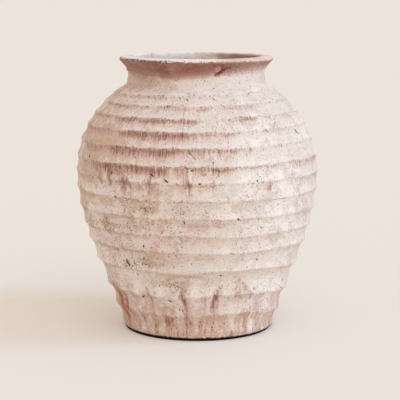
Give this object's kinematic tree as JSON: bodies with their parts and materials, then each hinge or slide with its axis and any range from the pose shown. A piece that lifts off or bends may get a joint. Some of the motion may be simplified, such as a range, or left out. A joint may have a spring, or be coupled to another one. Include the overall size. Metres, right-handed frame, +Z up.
{
  "type": "textured vase",
  "caption": "Bulbous hand-thrown clay vase with horizontal finger ribs, pinched neck, wide everted lip and a chalky slip coat, standing on a thin dark pad.",
  "frame": {"origin": "centre of the pad's underside, where the vase stands", "axes": "+Z up along the pot's turning axis; the side seen in the picture faces -Y"},
  "size_m": [0.2664, 0.2664, 0.3],
  "materials": {
    "slip_coated_clay": "matte, chalky slip over red clay",
    "black_felt": "matte felt"
  },
  "bodies": {
    "root": {"vase_body": "slip_coated_clay", "base_pad": "black_felt"}
  },
  "joints": []
}
